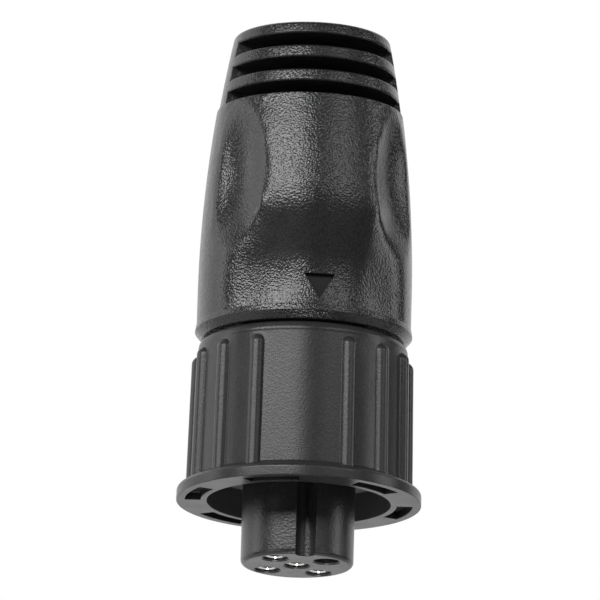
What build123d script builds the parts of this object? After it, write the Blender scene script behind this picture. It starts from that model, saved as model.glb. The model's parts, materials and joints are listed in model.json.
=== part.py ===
from build123d import *
from math import cos, pi, radians, sin, sqrt
import os

# A screw-on terminator plug for a five-pole round network connector.
# Sizes are in millimetres and angles in degrees.
# Z runs along the plug, from the end of the contact nose at zero up to the tail of the grip.
# The key groove and the arrow face the front, which is -Y.

# Contact insert: the nose that enters the mating half, and the neck that the nut turns on
nose_radius = 4.25
nose_length = 12.3
nose_edge_round = 0.35
key_width = 1.5
key_depth = 0.95
retainer_radius = 5.3
retainer_thickness = 1.6
neck_radius = 4.85
anchor_length = 4.25
anchor_groove_width = 1.2
anchor_groove_depth = 0.6

# Seal ring at the root of the nose
seal_section_radius = 0.5
seal_seat_depth = 0.2
seal_clearance = 0.02

# Socket contacts: four on a circle and one in the middle
contact_circle_radius = 2.75
contact_hole_radius = 0.95
contact_hole_chamfer = 0.12
contact_radius = 0.85
contact_fit = 0.02
contact_bore_radius = 0.53
contact_bore_depth = 5.5
contact_barrel_length = 6.7
contact_recess = 0.18
set_back_of_front_right_contact = 0.6
contact_mouth_chamfer = 0.1
contact_slit_width = 0.22
contact_slit_length = 3.0
contact_spring_root = 0.8
contact_tail_radius = 0.5
contact_tail_clearance = 0.03
contact_tail_stub = 1.5

# Terminating resistor, soldered between the middle contact and one on the circle
resistor_length = 6.3
resistor_waist_radius = 1.0
resistor_cap_radius = 1.2
resistor_cap_length = 1.4
resistor_edge_round = 0.25
lead_radius = 0.3
lead_stub = 1.2
resistor_contact_angle = 135.0
pocket_clearance = 0.05

# Coupling nut
nut_length = 12.25
nut_turned_at_rest = -8.5
axial_play = 0.3
turning_clearance = 0.08
collar_thickness = 2.9
shoulder_radius = 7.5
shoulder_height = 0.75
wall_radius_top = 7.9
wall_radius_foot = 8.08
flange_radius = 9.23
flange_edge_thickness = 0.95
flange_edge_round = 0.3
flange_slope_height = 0.45
mouth_radius = 6.95
mouth_depth = 2.2
thread_radius = 6.05
lead_in_height = 0.9
rib_radius = 0.62
rib_height = 0.5
rib_head_drop = 1.6
rib_spacing = 22.67
ribs_in_group = 4
rib_groups = 3
pocket_count = 6
pocket_span = 29.0
pocket_offset = -14.5
pocket_radius_inner = 7.4
pocket_radius_outer = 8.6
pocket_depth = 0.6

# Grip: the moulded body above the nut
nut_gap = 0.15
bead_height = 1.06
bead_radius = 8.22
bead_top_radius = 8.15
bead_foot_radius = 7.7
bead_lip_height = 0.6
bead_foot_round = 0.15
grip_length = 22.6
belly_height = 2.2
belly_radius = 8.1
tail_radius = 6.03
tail_edge_round = 0.3
mould_fit = 0.02

# Thumb hollows: four lens shapes, one on each side of the front and back panels
hollow_depth = 0.9
hollow_middle_height = 10.5
hollow_half_length = 5.9
hollow_angle = 52.0
hollow_tip_angle = 55.0
hollow_half_width = 19.0

# Waist: the saddle across the front and back panels
waist_depth = 0.75
waist_height = 2.1
waist_reach_up = 8.3
waist_reach_down = 6.5
waist_arch = 0.6
waist_full_angle = 35.0
waist_end_angle = 62.0

# Finger grooves at the tail, cut from the front and the back
groove_count = 3
groove_width = 1.0
groove_pitch = 1.96
top_ring_height = 0.95
groove_core_thickness = 3.0
ring_step = 0.12
ring_edge_round = 0.15

# Arrow recessed in the front of the grip
arrow_width = 2.33
arrow_height = 1.95
arrow_foot_height = 0.6
arrow_depth = 0.4

# Form of the lofted grip
section_count = 24
points_in_half = 36

# Levels along the plug
seal_level = nose_length - 2 * seal_section_radius - 2 * seal_clearance
retainer_top = nose_length + retainer_thickness
collar_level = retainer_top + axial_play
nut_top = collar_level + collar_thickness
nut_foot = nut_top - nut_length
bead_level = nut_top + nut_gap
grip_base = bead_level + bead_height
panel_length = grip_length - top_ring_height - groove_width - (groove_count - 1) * groove_pitch
insert_top = bead_level + anchor_length
contact_top = insert_top + contact_tail_stub
resistor_foot = contact_top + lead_stub
resistor_top = resistor_foot + resistor_length
lead_bend_radius = contact_circle_radius / 2
lead_bend_level = resistor_top + lead_stub


def turned(points):
    """A solid of revolution about Z from a closed outline of radius and height."""
    outline = Plane.XZ * make_face(Polyline(*points, close=True))
    return revolve(outline, Axis.Z)


def post(radius, low, high):
    """A round post about Z between two levels."""
    return Pos(0, 0, low) * extrude(Circle(radius), high - low)


# Places of the contacts around the nose, with the one in the middle last
contact_angles = [45.0, 135.0, 225.0, 315.0]
front_right_angle = 315.0
contact_places = [
    (contact_circle_radius * cos(radians(a)), contact_circle_radius * sin(radians(a))) for a in contact_angles
]
contact_places.append((0.0, 0.0))
contact_recesses = [
    contact_recess + (set_back_of_front_right_contact if a == front_right_angle else 0.0)
    for a in contact_angles
]
contact_recesses.append(contact_recess)


# Contact insert
def anchor(growth):
    """The part of the insert that the grip is moulded round, with a groove that locks it."""
    groove_low = bead_level + (anchor_length - anchor_groove_width) / 2
    outer = neck_radius + growth
    inner = neck_radius - anchor_groove_depth + growth
    return turned([
        (0, bead_level),
        (outer, bead_level),
        (outer, groove_low + growth),
        (inner, groove_low + growth),
        (inner, groove_low + anchor_groove_width - growth),
        (outer, groove_low + anchor_groove_width - growth),
        (outer, insert_top + growth),
        (0, insert_top + growth),
    ])


def contact_hole(place, recess):
    """A stepped hole for one contact: wide round its springs, then snug, then a hole for its tail."""
    x, y = place
    seat = recess + contact_barrel_length
    spring_top = recess + contact_slit_length + contact_spring_root
    snug = contact_radius + contact_fit
    narrow = contact_tail_radius + contact_tail_clearance
    wide = contact_hole_radius + contact_hole_chamfer
    return Pos(x, y, 0) * turned([
        (0, 0),
        (wide, 0),
        (contact_hole_radius, contact_hole_chamfer),
        (contact_hole_radius, spring_top),
        (snug, spring_top),
        (snug, seat),
        (narrow, seat),
        (narrow, insert_top),
        (0, insert_top),
    ])


def key_groove():
    """The groove with a round floor along the front of the nose."""
    floor_centre = nose_radius - key_depth + key_width / 2
    groove_end = Pos(0, -floor_centre) * Circle(key_width / 2)
    groove_side = Pos(0, -floor_centre - key_depth / 2) * Rectangle(key_width, key_depth)
    return extrude(groove_end + groove_side, seal_level)


def make_insert():
    seat_radius = nose_radius - seal_seat_depth
    nose = fillet(post(nose_radius, 0, seal_level).edges().group_by(Axis.Z)[0], nose_edge_round)
    nose -= key_groove()
    seat = post(seat_radius, seal_level, nose_length)
    retainer = post(retainer_radius, nose_length, retainer_top)
    neck = post(neck_radius, retainer_top, bead_level)
    body = nose + seat + retainer + neck + anchor(0)
    for place, recess in zip(contact_places, contact_recesses):
        body -= contact_hole(place, recess)
    return body


# Socket contacts
def make_contact(place, recess):
    x, y = place
    seat = recess + contact_barrel_length
    mouth = contact_bore_radius + contact_mouth_chamfer
    body = turned([
        (mouth, recess),
        (contact_radius, recess),
        (contact_radius, seat),
        (contact_tail_radius, seat),
        (contact_tail_radius, contact_top),
        (0, contact_top),
        (0, recess + contact_bore_depth),
        (contact_bore_radius, recess + contact_bore_depth),
        (contact_bore_radius, recess + contact_mouth_chamfer),
    ])
    slit = Box(3 * contact_radius, contact_slit_width, contact_slit_length)
    body -= Pos(0, 0, recess + contact_slit_length / 2) * slit
    return Pos(x, y, 0) * body


# Seal ring, in its seat against the retaining collar
def make_seal():
    ring_radius = nose_radius - seal_seat_depth + seal_clearance + seal_section_radius
    ring_level = nose_length - seal_clearance - seal_section_radius
    return Pos(0, 0, ring_level) * Torus(ring_radius, seal_section_radius)


# Terminating resistor and its two leads
def make_resistor():
    waist = post(resistor_waist_radius, resistor_foot, resistor_top)
    low_cap = post(resistor_cap_radius, resistor_foot, resistor_foot + resistor_cap_length)
    high_cap = post(resistor_cap_radius, resistor_top - resistor_cap_length, resistor_top)
    body = waist + low_cap + high_cap
    ends = body.edges().group_by(Axis.Z)
    return fillet(ends[0] + ends[-1], resistor_edge_round)


def make_leads():
    short_lead = post(lead_radius, contact_top, resistor_foot)
    rise = Line((0, 0, resistor_top), (0, 0, lead_bend_level))
    bend = ThreePointArc(
        (0, 0, lead_bend_level),
        (lead_bend_radius, 0, lead_bend_level + lead_bend_radius),
        (contact_circle_radius, 0, lead_bend_level),
    )
    fall = Line((contact_circle_radius, 0, lead_bend_level), (contact_circle_radius, 0, contact_top))
    wire_end = Pos(0, 0, resistor_top) * Circle(lead_radius)
    long_lead = Rot(0, 0, resistor_contact_angle) * sweep(wire_end, path=Wire([rise, bend, fall]))
    return Compound(children=[short_lead, long_lead])


def resistor_pocket():
    """The room that the moulding leaves for the contact tails, the resistor and its leads."""
    tails = post(contact_circle_radius + contact_radius, insert_top, contact_top + pocket_clearance)
    width = 2 * (resistor_cap_radius + pocket_clearance)
    high = lead_bend_level + lead_bend_radius + lead_radius + pocket_clearance
    slot = Pos(contact_circle_radius / 2, 0, contact_top) * SlotCenterToCenter(contact_circle_radius, width)
    return tails + Rot(0, 0, resistor_contact_angle) * extrude(slot, high - contact_top)


# Coupling nut
def nut_shell():
    collar_bore = neck_radius + turning_clearance
    slope_foot = nut_foot + flange_edge_thickness
    slope_top = slope_foot + flange_slope_height
    rim = flange_radius - flange_edge_round
    bend = flange_edge_round * (1 - sqrt(0.5))
    lead_in_foot = nut_foot + mouth_depth
    lead_in_top = lead_in_foot + lead_in_height
    outline = [
        Line((collar_bore, nut_top), (shoulder_radius, nut_top)),
        ThreePointArc(
            (shoulder_radius, nut_top),
            (
                shoulder_radius + (wall_radius_top - shoulder_radius) * sqrt(0.5),
                nut_top - shoulder_height * (1 - sqrt(0.5)),
            ),
            (wall_radius_top, nut_top - shoulder_height),
        ),
        Line((wall_radius_top, nut_top - shoulder_height), (wall_radius_foot, slope_top)),
        Line((wall_radius_foot, slope_top), (rim, slope_foot)),
        ThreePointArc(
            (rim, slope_foot),
            (flange_radius - bend, slope_foot - bend),
            (flange_radius, slope_foot - flange_edge_round),
        ),
        Line((flange_radius, slope_foot - flange_edge_round), (flange_radius, nut_foot)),
        Line((flange_radius, nut_foot), (mouth_radius, nut_foot)),
        Line((mouth_radius, nut_foot), (mouth_radius, lead_in_foot)),
        Line((mouth_radius, lead_in_foot), (thread_radius, lead_in_top)),
        Line((thread_radius, lead_in_top), (thread_radius, collar_level)),
        Line((thread_radius, collar_level), (collar_bore, collar_level)),
        Line((collar_bore, collar_level), (collar_bore, nut_top)),
    ]
    return revolve(Plane.XZ * make_face(Wire(outline)), Axis.Z)


def nut_rib():
    """One half-round rib on the front of the nut, following the draft of the wall."""
    high = nut_top - rib_head_drop
    low = nut_foot + flange_edge_thickness
    inset = rib_height - rib_radius
    foot = Vector(0, -(wall_radius_foot + inset), low)
    head = Vector(0, -(wall_radius_top + inset), high)
    section = Plane(origin=foot, z_dir=head - foot) * Circle(rib_radius)
    return extrude(section, (head - foot).length) + Pos(head) * Sphere(rib_radius)


def make_nut():
    body = nut_shell()
    rib = nut_rib()
    first_rib = 180 / rib_groups - rib_spacing * (ribs_in_group - 1) / 2
    for group in range(rib_groups):
        for place in range(ribs_in_group):
            body += Rot(0, 0, group * 360 / rib_groups + first_rib + place * rib_spacing) * rib
    width = pocket_radius_outer - pocket_radius_inner
    middle = (pocket_radius_outer + pocket_radius_inner) / 2
    section = Plane.XZ * Pos(middle, nut_foot + pocket_depth / 2) * Rectangle(width, pocket_depth)
    pocket = revolve(section, Axis.Z, revolution_arc=pocket_span)
    first_pocket = -90 + pocket_offset - pocket_span / 2
    for index in range(pocket_count):
        body -= Rot(0, 0, first_pocket + index * 360 / pocket_count) * pocket
    return Rot(0, 0, nut_turned_at_rest) * body


# Grip
def side_radius(height):
    """Radius of the grip's side at a height above its base: upright at the belly, then an arc to the tail."""
    rise = grip_length - belly_height
    drop = belly_radius - tail_radius
    crown = (rise ** 2 + drop ** 2) / (2 * drop)
    above = max(0.0, height - belly_height)
    return belly_radius - crown + sqrt(crown ** 2 - above ** 2)


def hollow_at(angle, height):
    """Depth of the thumb hollow at an angle from the front or back centre line."""
    along = (height - hollow_middle_height) / hollow_half_length
    if abs(along) >= 1:
        return 0.0
    fullness = 1 - along ** 2
    middle = hollow_tip_angle + (hollow_angle - hollow_tip_angle) * fullness
    across = (angle - middle) / (hollow_half_width * sqrt(fullness))
    if abs(across) >= 1:
        return 0.0
    return hollow_depth * fullness ** 1.5 * (1 - across ** 2)


def waist_at(angle, height):
    """Depth of the waist, which arches down towards the sides, fades out there and runs out over the lip."""
    middle = waist_height - waist_arch * (angle / waist_full_angle) ** 2
    reach = waist_reach_up if height > middle else waist_reach_down
    along = min(1.0, abs(height - middle) / reach)
    fade = (angle - waist_full_angle) / (waist_end_angle - waist_full_angle)
    fade = min(1.0, max(0.0, fade))
    return waist_depth * cos(pi / 2 * along) ** 2 * cos(pi / 2 * fade) ** 2


def grip_section(height):
    """The grip's closed outline at one height: two halves that meet at the parting lines on its sides."""
    halves = []
    for start in (0, 180):
        points = []
        for index in range(points_in_half + 1):
            along = 180 * index / points_in_half
            from_panel = abs(along - 90)
            radius = side_radius(height) - hollow_at(from_panel, height) - waist_at(from_panel, height)
            points.append((radius * cos(radians(start + along)), radius * sin(radians(start + along))))
        heading = cos(radians(start))
        halves.append(Spline(*points, tangents=((0, heading), (0, -heading))))
    return Pos(0, 0, grip_base + height) * make_face(halves)


def groove(index):
    """One pair of flat-floored grooves, front and back, that leave a core between them."""
    low = (groove_count - 1 - index) * groove_pitch
    reach = belly_radius - groove_core_thickness / 2
    cut = Box(2 * belly_radius, reach, groove_width)
    middle = (groove_core_thickness + reach) / 2
    pair = Pos(0, middle, 0) * cut + Pos(0, -middle, 0) * cut
    return Pos(0, 0, low + groove_width / 2) * pair


def make_tail():
    """The ringed tail, made with its foot at zero: a turned form, its grooves and their softened edges."""
    length = grip_length - panel_length
    low = side_radius(panel_length) - ring_step
    middle = side_radius(panel_length + length / 2) - ring_step
    high = side_radius(grip_length) - ring_step
    outline = [
        Line((0, 0), (low, 0)),
        ThreePointArc((low, 0), (middle, length / 2), (high, length)),
        Line((high, length), (0, length)),
        Line((0, length), (0, 0)),
    ]
    body = revolve(Plane.XZ * make_face(Wire(outline)), Axis.Z)
    body = fillet(body.edges().group_by(Axis.Z)[-1], tail_edge_round)
    for index in range(groove_count):
        body -= groove(index)
    for side in (-1, 1):
        ring_edges = [edge for edge in body.edges() if side * edge.center().Y > groove_core_thickness]
        body = fillet(ring_edges, ring_edge_round)
    return Pos(0, 0, grip_base + panel_length) * body


def panel_radius(height):
    """Radius of the grip along the middle of its front panel."""
    return side_radius(height) - waist_at(0.0, height)


def arrow():
    """A triangle that points at the mating half, sunk evenly below the sloping panel."""
    foot = Vector(0, arrow_depth - panel_radius(arrow_foot_height), grip_base + arrow_foot_height)
    head_height = arrow_foot_height + arrow_height
    head = Vector(0, arrow_depth - panel_radius(head_height), grip_base + head_height)
    floor = Plane(origin=foot, x_dir=(1, 0, 0), z_dir=Vector(1, 0, 0).cross(head - foot))
    rise = (head - foot).length
    outline = Polyline((0, 0), (arrow_width / 2, rise), (-arrow_width / 2, rise), close=True)
    return extrude(floor * make_face(outline), 3 * arrow_depth)


def bead():
    """The lip under the grip, widest at its edge, which narrows towards the nut."""
    lip = turned([
        (0, bead_level),
        (bead_foot_radius, bead_level),
        (bead_radius, bead_level + bead_lip_height),
        (bead_top_radius, grip_base),
        (0, grip_base),
    ])
    return fillet(lip.edges().group_by(Axis.Z)[0], bead_foot_round)


def make_grip():
    heights = [panel_length * index / (section_count - 1) for index in range(section_count)]
    body = loft([grip_section(height) for height in heights])
    body -= arrow()
    body += make_tail()
    body += bead()
    body -= anchor(mould_fit)
    body -= resistor_pocket()
    return body


nodes = {
    "grip_body": make_grip(),
    "coupling_nut": make_nut(),
    "contact_insert": make_insert(),
    "seal_ring": make_seal(),
    "termination_resistor": make_resistor(),
    "resistor_leads": make_leads(),
}
for number, (place, recess) in enumerate(zip(contact_places, contact_recesses), start=1):
    nodes[f"socket_contact_{number}"] = make_contact(place, recess)

os.makedirs("parts", exist_ok=True)
for name, shape in nodes.items():
    export_step(shape, f"parts/{name}.step")
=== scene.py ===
import json
import math
from collections import namedtuple

import bmesh
import bpy
from mathutils import Matrix, Vector


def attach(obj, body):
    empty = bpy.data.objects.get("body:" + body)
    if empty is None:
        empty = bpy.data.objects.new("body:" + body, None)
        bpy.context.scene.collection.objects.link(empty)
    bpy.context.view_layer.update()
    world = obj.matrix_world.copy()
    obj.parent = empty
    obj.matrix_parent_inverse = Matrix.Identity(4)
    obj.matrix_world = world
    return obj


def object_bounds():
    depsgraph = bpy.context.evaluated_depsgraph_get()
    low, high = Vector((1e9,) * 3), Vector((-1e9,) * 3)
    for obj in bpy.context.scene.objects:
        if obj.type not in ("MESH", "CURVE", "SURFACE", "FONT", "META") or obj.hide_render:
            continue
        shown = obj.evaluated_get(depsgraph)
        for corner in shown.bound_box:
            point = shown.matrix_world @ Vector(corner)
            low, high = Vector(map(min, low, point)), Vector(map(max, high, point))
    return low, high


# The looks of a screw-on network terminator plug: finishes for the moulded and metal pieces,
# the thread inside the coupling nut, and a plain studio. Lengths are in metres.

MM = 0.001

# Camera, from the photograph's 600 x 600 frame
IMAGE_SIDE = 600
PIXELS_PER_MM = 13.3
NOSE_END_PIXEL = (296.8, 565.9)
CAMERA_TURN = math.radians(8.5)
CAMERA_DROP = math.radians(14.4)
CAMERA_ROLL = math.radians(1.7)
CAMERA_DISTANCE = 0.9
CAMERA_NEAR = 0.01
CAMERA_FAR = 20
SENSOR_WIDTH = 36.0

# Thread inside the coupling nut, which is 12 mm across with a pitch of 1 mm
THREAD_PITCH = 1.0 * MM
THREAD_CREST_RADIUS = 5.47 * MM
THREAD_ROOT_RADIUS = 6.05 * MM
THREAD_SUNK = 0.06 * MM
THREAD_CREST_WIDTH = 0.16 * MM
THREAD_ROOT_WIDTH = 0.86 * MM
THREAD_START = 8.0 * MM
THREAD_END = 13.6 * MM
THREAD_STEPS_PER_TURN = 72
THREAD_FADE_TURNS = 0.4

# Finishes: two colours to mix, the size of the grain, the range of the roughness, the height of the grain
Finish = namedtuple("Finish", "dark light grain roughness relief", defaults=(0.0,))
GRIP = Finish((0.016, 0.016, 0.017), (0.030, 0.030, 0.031), 0.13 * MM, (0.17, 0.22), 0.034 * MM)
# The nut's pale colour is painted light for the inside of its mouth; its mottling goes only a little way
# towards it.
NUT = Finish((0.024, 0.024, 0.025), (0.110, 0.110, 0.112), 0.14 * MM, (0.28, 0.34), 0.008 * MM)
INSERT = Finish((0.020, 0.020, 0.021), (0.034, 0.034, 0.035), 0.15 * MM, (0.28, 0.34), 0.016 * MM)
RUBBER = Finish((0.012, 0.012, 0.012), (0.022, 0.022, 0.022), 0.12 * MM, (0.5, 0.7), 0.004 * MM)
PLATING = Finish((0.80, 0.79, 0.76), (0.92, 0.91, 0.88), 0.05 * MM, (0.06, 0.14), 0.002 * MM)
WIRE = Finish((0.62, 0.62, 0.63), (0.78, 0.78, 0.78), 0.08 * MM, (0.25, 0.4))
LACQUER = Finish((0.50, 0.40, 0.26), (0.60, 0.49, 0.33), 0.5 * MM, (0.25, 0.4), 0.02 * MM)
PLASTIC_IOR = 1.5
NUT_IOR = 1.44

# Noise in the finishes, and the grain of the moulded plastics
NOISE_LOW = 0.3
NOISE_HIGH = 0.7
MOTTLE_LOW = 0.35
MOTTLE_HIGH = 0.7
FINE_SHARE = 0.7
PIT_SHARE = 0.5
PIT_SIZE = 1.3
GLOSS_PATCH = 2.5 * MM
PLATING_PATCH = 0.6 * MM
GRIP_EDGE = 0.08 * MM
NUT_EDGE = 0.1 * MM
INSERT_EDGE = 0.08 * MM
BEVEL_SAMPLES = 6

# Places on the grip where the finish changes, and the radius of the nut's mouth, inside which light is
# painted
SEAM_HALF_WIDTH = 0.07 * MM
SEAM_CREST = 0.4
ARROW_HALF_WIDTH = 1.25 * MM
ARROW_SUNK_RADIUS = 7.2 * MM
ARROW_TOP = 20.95 * MM
WAIST_MIDDLE = 23.9 * MM
WAIST_SMOOTH = 1.3 * MM
WAIST_GRAINED = 3.5 * MM
WAIST_GRAIN_LEFT = 0.22
WAIST_SIDE = 2.8 * MM
WAIST_SIDE_END = 6.6 * MM
NUT_PAINTED_LIGHT_RADIUS = 6.98 * MM
NUT_MOTTLE = 0.16

# Studio: azimuths are to the camera's right and elevations are up, both in degrees
Softbox = namedtuple("Softbox", "name azimuth elevation distance width height watts")
SOFTBOXES = [
    Softbox("left_softbox", azimuth=-29, elevation=23.5, distance=0.5, width=0.51, height=0.132, watts=2.1),
    Softbox("right_softbox", azimuth=40, elevation=24, distance=0.5, width=0.30, height=0.132, watts=0.36),
    Softbox("low_left_fill", azimuth=-50, elevation=-22, distance=0.5, width=0.2, height=0.2, watts=0.35),
    Softbox("low_right_fill", azimuth=50, elevation=-22, distance=0.5, width=0.2, height=0.2, watts=0.2),
    Softbox("under_fill", azimuth=0, elevation=-82, distance=0.26, width=0.055, height=0.055, watts=0.12),
    Softbox("left_edge_light", azimuth=-90, elevation=14, distance=0.5, width=0.16, height=0.26, watts=0.28),
    Softbox("right_edge_light", azimuth=88, elevation=12, distance=0.5, width=0.15, height=0.30, watts=0.42),
]
FLOOR_LEVEL = -0.26
FLOOR_HALF = 0.45
FLOOR_BACK = 0.37
FLOOR_DARK = (0.80, 0.80, 0.80)
FLOOR_LIGHT = (0.83, 0.83, 0.83)
FLOOR_PATCH = 0.2
FLOOR_ROUGHNESS = 0.8
WALL_RADIUS = 1.6
WALL_OPENING = math.radians(66)
WALL_TURN = math.radians(15)
WALL_RINGS = 24
WALL_STEPS = 64
WALL_DARK = (0.07, 0.07, 0.07)
WALL_LIGHT = (0.09, 0.09, 0.09)
WALL_PATCH = 0.3
WALL_ROUGHNESS = 0.9

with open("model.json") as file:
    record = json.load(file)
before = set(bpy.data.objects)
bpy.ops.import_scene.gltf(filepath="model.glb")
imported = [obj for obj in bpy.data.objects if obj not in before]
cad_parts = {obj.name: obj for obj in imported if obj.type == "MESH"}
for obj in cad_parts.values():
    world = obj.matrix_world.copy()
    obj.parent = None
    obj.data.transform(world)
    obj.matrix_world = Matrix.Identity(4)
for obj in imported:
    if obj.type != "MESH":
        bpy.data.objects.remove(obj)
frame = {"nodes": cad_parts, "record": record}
cad_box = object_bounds()
nodes = frame["nodes"]


# Camera
def camera_axes():
    """The camera's right, up and forward directions."""
    forward = Vector((
        math.sin(CAMERA_TURN) * math.cos(CAMERA_DROP),
        math.cos(CAMERA_TURN) * math.cos(CAMERA_DROP),
        math.sin(CAMERA_DROP),
    ))
    level_right = forward.cross(Vector((0, 0, 1))).normalized()
    level_up = level_right.cross(forward)
    right = level_right * math.cos(CAMERA_ROLL) + level_up * math.sin(CAMERA_ROLL)
    up = level_up * math.cos(CAMERA_ROLL) - level_right * math.sin(CAMERA_ROLL)
    return right, up, forward


def add_camera():
    """A long-lens camera that looks up at the plug, with the nose's end at its pixel of the photograph."""
    right, up, forward = camera_axes()
    half = IMAGE_SIDE / 2
    across = (half - NOSE_END_PIXEL[0]) / PIXELS_PER_MM * MM
    rise = (NOSE_END_PIXEL[1] - half) / PIXELS_PER_MM * MM
    target = right * across + up * rise
    data = bpy.data.cameras.new("camera")
    data.sensor_width = SENSOR_WIDTH
    data.lens = SENSOR_WIDTH * CAMERA_DISTANCE / (IMAGE_SIDE / PIXELS_PER_MM * MM)
    data.clip_start = CAMERA_NEAR
    data.clip_end = CAMERA_FAR
    camera = bpy.data.objects.new("camera", data)
    turn = Matrix((right, up, -forward)).transposed().to_4x4()
    camera.matrix_world = Matrix.Translation(target - forward * CAMERA_DISTANCE) @ turn
    bpy.context.scene.collection.objects.link(camera)
    bpy.context.scene.camera = camera


# Materials
class Nodes:
    """Short calls for building one node material."""

    # Sockets of the Mix node that are for colours
    MIX_SHARE, MIX_FIRST, MIX_SECOND, MIX_RESULT = 0, 6, 7, 2

    def __init__(self, name):
        self.material = bpy.data.materials.new(name)
        self.material.use_nodes = True
        self.tree = self.material.node_tree
        self.shader = self.tree.nodes["Principled BSDF"]
        self.place = self.add("ShaderNodeTexCoord").outputs["Object"]

    def add(self, kind, **settings):
        node = self.tree.nodes.new(kind)
        for key, value in settings.items():
            setattr(node, key, value)
        return node

    def link(self, source, target):
        self.tree.links.new(source, target)

    def noise(self, size, detail=2.0, rough=0.5):
        """Noise whose features are about this size in metres."""
        node = self.add("ShaderNodeTexNoise")
        node.inputs["Scale"].default_value = 1 / size
        node.inputs["Detail"].default_value = detail
        node.inputs["Roughness"].default_value = rough
        self.link(self.place, node.inputs["Vector"])
        return node.outputs["Fac"]

    def cells(self, size):
        """The distance to the nearest of many scattered points, about this far apart in metres."""
        node = self.add("ShaderNodeTexVoronoi", feature="F1")
        node.inputs["Scale"].default_value = 1 / size
        self.link(self.place, node.inputs["Vector"])
        return node.outputs["Distance"]

    def axes(self):
        """The X, Y and Z of the shaded point in the part's frame."""
        node = self.add("ShaderNodeSeparateXYZ")
        self.link(self.place, node.inputs[0])
        return node.outputs["X"], node.outputs["Y"], node.outputs["Z"]

    def span(self, value, low, high, to_low, to_high):
        """A value mapped from one range to another and held inside it."""
        node = self.add("ShaderNodeMapRange", clamp=True)
        for name, number in zip(("From Min", "From Max", "To Min", "To Max"), (low, high, to_low, to_high)):
            node.inputs[name].default_value = number
        self.link(value, node.inputs["Value"])
        return node.outputs["Result"]

    def math(self, operation, first, second=None):
        node = self.add("ShaderNodeMath", operation=operation)
        for index, item in enumerate((first, second)):
            if item is None:
                continue
            if isinstance(item, (int, float)):
                node.inputs[index].default_value = item
            else:
                self.link(item, node.inputs[index])
        return node.outputs[0]

    def paint(self, share, dark, light):
        """Colours the shader between two colours."""
        node = self.add("ShaderNodeMix", data_type="RGBA")
        node.inputs[self.MIX_FIRST].default_value = (*dark, 1)
        node.inputs[self.MIX_SECOND].default_value = (*light, 1)
        self.link(share, node.inputs[self.MIX_SHARE])
        self.link(node.outputs[self.MIX_RESULT], self.shader.inputs["Base Color"])

    def gloss(self, value, roughness):
        """Varies the shader's roughness over a range."""
        self.link(self.span(value, NOISE_LOW, NOISE_HIGH, *roughness), self.shader.inputs["Roughness"])

    def emboss(self, height, depth, edge=None):
        """Gives the shader a bump of this depth in metres, and rounds sharp edges by a radius if given."""
        bump = self.add("ShaderNodeBump")
        bump.inputs["Distance"].default_value = depth
        self.link(height, bump.inputs["Height"])
        if edge is not None:
            bevel = self.add("ShaderNodeBevel", samples=BEVEL_SAMPLES)
            bevel.inputs["Radius"].default_value = edge
            self.link(bevel.outputs["Normal"], bump.inputs["Normal"])
        self.link(bump.outputs["Normal"], self.shader.inputs["Normal"])


def moulded_plastic(name, finish, ior):
    """A moulded plastic's nodes, with an uneven gloss; relief is its eroded grain and tint its mottling."""
    n = Nodes(name)
    fine = n.noise(finish.grain, detail=1.0, rough=0.4)
    pits = n.cells(finish.grain * PIT_SIZE)
    n.relief = n.math("ADD", n.math("MULTIPLY", fine, FINE_SHARE), n.math("MULTIPLY", pits, PIT_SHARE))
    n.tint = n.span(fine, MOTTLE_LOW, MOTTLE_HIGH, 0, 1)
    n.gloss(n.noise(GLOSS_PATCH), finish.roughness)
    n.shader.inputs["IOR"].default_value = ior
    return n


def grip_plastic():
    """Grained plastic, smoother in the waist and the arrow, with a thin line where the mould parted."""
    n = moulded_plastic("grip_plastic", GRIP, PLASTIC_IOR)
    x, y, z = n.axes()
    across = n.math("ABSOLUTE", x)
    seam = n.span(n.math("ABSOLUTE", y), SEAM_HALF_WIDTH, SEAM_CREST * SEAM_HALF_WIDTH, 0, 1)
    in_width = n.math("LESS_THAN", across, ARROW_HALF_WIDTH)
    sunk = n.math("GREATER_THAN", y, -ARROW_SUNK_RADIUS)
    front = n.math("LESS_THAN", y, 0.0)
    low = n.math("LESS_THAN", z, ARROW_TOP)
    arrow = n.math("MULTIPLY", n.math("MULTIPLY", in_width, sunk), n.math("MULTIPLY", front, low))
    from_waist = n.math("ABSOLUTE", n.math("SUBTRACT", z, WAIST_MIDDLE))
    off_waist = n.span(from_waist, WAIST_SMOOTH, WAIST_GRAINED, WAIST_GRAIN_LEFT, 1)
    beside_waist = n.span(across, WAIST_SIDE, WAIST_SIDE_END, 0, 1)
    not_arrow = n.math("SUBTRACT", 1.0, arrow)
    grain = n.math("MULTIPLY", n.math("MAXIMUM", off_waist, beside_waist), not_arrow)
    n.emboss(n.math("ADD", n.math("MULTIPLY", n.relief, grain), seam), GRIP.relief, GRIP_EDGE)
    plain = n.math("SUBTRACT", 1.0, n.math("MAXIMUM", arrow, seam))
    n.paint(n.math("MULTIPLY", n.tint, plain), GRIP.dark, GRIP.light)
    return n.material


def nut_plastic():
    """Satin plastic, with painted light inside the nut's mouth, where the walls and the thread are coloured
    pale in place of light from below.
    """
    n = moulded_plastic("nut_plastic", NUT, NUT_IOR)
    x, y = n.axes()[:2]
    square = n.math("ADD", n.math("POWER", x, 2.0), n.math("POWER", y, 2.0))
    # Painted light: nearer the axis than the mouth's wall, the nut and its thread take the pale colour, as if
    # lit from below.
    inside = n.math("LESS_THAN", n.math("SQRT", square), NUT_PAINTED_LIGHT_RADIUS)
    n.paint(n.math("MAXIMUM", n.math("MULTIPLY", n.tint, NUT_MOTTLE), inside), NUT.dark, NUT.light)
    n.emboss(n.relief, NUT.relief, NUT_EDGE)
    return n.material


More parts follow.
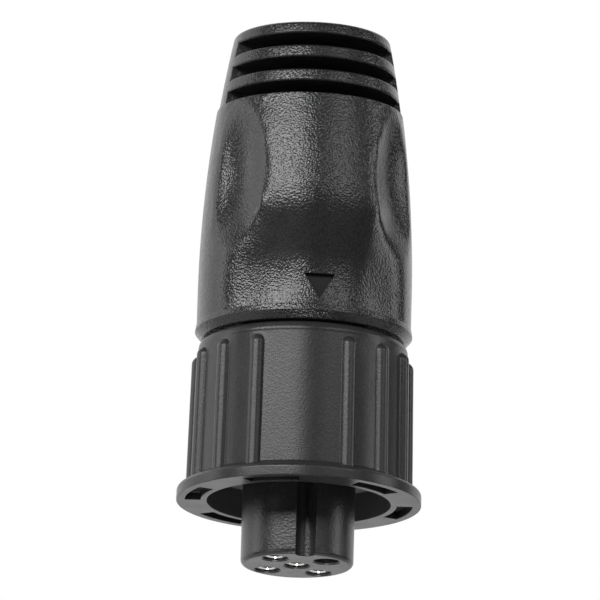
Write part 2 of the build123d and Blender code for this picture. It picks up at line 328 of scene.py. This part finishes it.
def insert_plastic():
    n = moulded_plastic("insert_plastic", INSERT, PLASTIC_IOR)
    n.paint(n.tint, INSERT.dark, INSERT.light)
    n.emboss(n.relief, INSERT.relief, INSERT_EDGE)
    return n.material


def seal_rubber():
    n = Nodes("seal_rubber")
    fine = n.noise(RUBBER.grain)
    n.paint(fine, RUBBER.dark, RUBBER.light)
    n.gloss(fine, RUBBER.roughness)
    n.emboss(fine, RUBBER.relief)
    return n.material


def contact_metal():
    """Bright plating over turned brass, with faint tool marks."""
    n = Nodes("contact_metal")
    marks = n.noise(PLATING.grain, detail=1.0)
    n.paint(n.noise(PLATING_PATCH), PLATING.dark, PLATING.light)
    n.gloss(marks, PLATING.roughness)
    n.emboss(marks, PLATING.relief)
    n.shader.inputs["Metallic"].default_value = 1.0
    return n.material


def tinned_wire():
    n = Nodes("tinned_wire")
    marks = n.noise(WIRE.grain)
    n.paint(marks, WIRE.dark, WIRE.light)
    n.gloss(marks, WIRE.roughness)
    n.shader.inputs["Metallic"].default_value = 1.0
    return n.material


def resistor_lacquer():
    n = Nodes("resistor_lacquer")
    cloud = n.noise(LACQUER.grain, detail=3.0)
    n.paint(cloud, LACQUER.dark, LACQUER.light)
    n.gloss(cloud, LACQUER.roughness)
    n.emboss(cloud, LACQUER.relief)
    return n.material


def finish_nodes():
    """Gives each CAD node the finish of its slot, and returns the finishes by slot."""
    finishes = {
        "grip_plastic": grip_plastic(),
        "nut_plastic": nut_plastic(),
        "insert_plastic": insert_plastic(),
        "seal_rubber": seal_rubber(),
        "contact_metal": contact_metal(),
        "tinned_wire": tinned_wire(),
        "resistor_lacquer": resistor_lacquer(),
    }
    for part in frame["record"]["subparts"]:
        piece = nodes[part["node"]]
        piece.data.materials.clear()
        piece.data.materials.append(finishes[part["material_slot"]])
    return finishes


# Thread inside the nut
def thread_profile():
    """The thread's section as pairs of depth from the root and offset along the axis."""
    crest_depth = THREAD_ROOT_RADIUS - THREAD_CREST_RADIUS
    return [
        (-THREAD_SUNK, -THREAD_ROOT_WIDTH / 2),
        (crest_depth, -THREAD_CREST_WIDTH / 2),
        (crest_depth, THREAD_CREST_WIDTH / 2),
        (-THREAD_SUNK, THREAD_ROOT_WIDTH / 2),
    ]


def add_thread(material):
    """A closed helical ridge in the nut's bore, which fades out at both ends and turns with the nut."""
    turns = (THREAD_END - THREAD_START) / THREAD_PITCH
    steps = int(turns * THREAD_STEPS_PER_TURN)
    mesh = bmesh.new()
    rings = []
    for step in range(steps + 1):
        turned = step / THREAD_STEPS_PER_TURN
        angle = 2 * math.pi * turned
        level = THREAD_START + turned * THREAD_PITCH
        height = min(1.0, turned / THREAD_FADE_TURNS, (turns - turned) / THREAD_FADE_TURNS)
        ring = []
        for depth, offset in thread_profile():
            radius = THREAD_ROOT_RADIUS - (depth * height if depth > 0 else depth)
            point = (radius * math.cos(angle), radius * math.sin(angle), level + offset)
            ring.append(mesh.verts.new(point))
        rings.append(ring)
    for low, high in zip(rings, rings[1:]):
        for index in range(len(low)):
            after = (index + 1) % len(low)
            mesh.faces.new((low[index], low[after], high[after], high[index]))
    mesh.faces.new(rings[0])
    mesh.faces.new(reversed(rings[-1]))
    bmesh.ops.recalc_face_normals(mesh, faces=mesh.faces)
    data = bpy.data.meshes.new("nut_thread")
    mesh.to_mesh(data)
    mesh.free()
    piece = bpy.data.objects.new("nut_thread", data)
    bpy.context.scene.collection.objects.link(piece)
    data.materials.append(material)
    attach(piece, "nut")


# Studio
def add_softbox(box):
    """An area lamp that faces the middle of the plug."""
    middle = (cad_box[0] + cad_box[1]) / 2
    turn = CAMERA_TURN - math.radians(box.azimuth)
    rise = math.radians(box.elevation)
    back = Vector((
        -math.sin(turn) * math.cos(rise),
        -math.cos(turn) * math.cos(rise),
        math.sin(rise),
    ))
    data = bpy.data.lights.new(box.name, "AREA")
    data.shape = "RECTANGLE"
    data.size = box.width
    data.size_y = box.height
    data.energy = box.watts
    lamp = bpy.data.objects.new(box.name, data)
    lamp.location = middle + back * box.distance
    lamp.rotation_mode = "QUATERNION"
    lamp.rotation_quaternion = (-back).to_track_quat("-Z", "Y")
    bpy.context.scene.collection.objects.link(lamp)


def add_world():
    """A plain white surround, which the camera and the plug's gloss both show."""
    world = bpy.data.worlds.new("studio")
    bpy.context.scene.world = world
    world.use_nodes = True
    background = world.node_tree.nodes["Background"]
    background.inputs["Color"].default_value = (1, 1, 1, 1)
    background.inputs["Strength"].default_value = 1.0


def stage_material(name, patch, dark, light, roughness):
    """A matt finish, a little cloudy, for the pieces of the studio."""
    n = Nodes(name)
    n.paint(n.noise(patch, detail=1.0), dark, light)
    n.shader.inputs["Roughness"].default_value = roughness
    return n.material


def add_dark_wall():
    """A dark round wall in front of the plug, open at the back; the camera stands inside and sees past it."""
    forward = camera_axes()[2]
    opening = Matrix.Rotation(WALL_TURN, 3, "Z") @ forward
    across = opening.cross(Vector((0, 0, 1))).normalized()
    rise = across.cross(opening)
    points = []
    for ring in range(WALL_RINGS + 1):
        lean = WALL_OPENING + (math.pi - WALL_OPENING) * ring / WALL_RINGS
        for step in range(WALL_STEPS):
            angle = 2 * math.pi * step / WALL_STEPS
            side = across * math.cos(angle) + rise * math.sin(angle)
            points.append((opening * math.cos(lean) + side * math.sin(lean)) * WALL_RADIUS)
    faces = []
    for ring in range(WALL_RINGS):
        for step in range(WALL_STEPS):
            after = (step + 1) % WALL_STEPS
            low = ring * WALL_STEPS
            high = low + WALL_STEPS
            faces.append((low + step, low + after, high + after, high + step))
    data = bpy.data.meshes.new("dark_wall")
    data.from_pydata(points, [], faces)
    wall = bpy.data.objects.new("dark_wall", data)
    wall.visible_camera = False
    bpy.context.scene.collection.objects.link(wall)
    data.materials.append(stage_material("dark_wall", WALL_PATCH, WALL_DARK, WALL_LIGHT, WALL_ROUGHNESS))


def add_floor():
    """A pale floor below and behind the plug."""
    data = bpy.data.meshes.new("floor")
    corners = [(-1, -1), (1, -1), (1, 1), (-1, 1)]
    points = [(x * FLOOR_HALF, y * FLOOR_HALF + FLOOR_BACK, FLOOR_LEVEL) for x, y in corners]
    data.from_pydata(points, [], [(0, 1, 2, 3)])
    floor = bpy.data.objects.new("floor", data)
    bpy.context.scene.collection.objects.link(floor)
    data.materials.append(stage_material("floor", FLOOR_PATCH, FLOOR_DARK, FLOOR_LIGHT, FLOOR_ROUGHNESS))


add_camera()
finishes = finish_nodes()
add_thread(finishes["nut_plastic"])
for softbox in SOFTBOXES:
    add_softbox(softbox)
add_world()
add_dark_wall()
add_floor()
bpy.context.scene.view_settings.view_transform = "Standard"
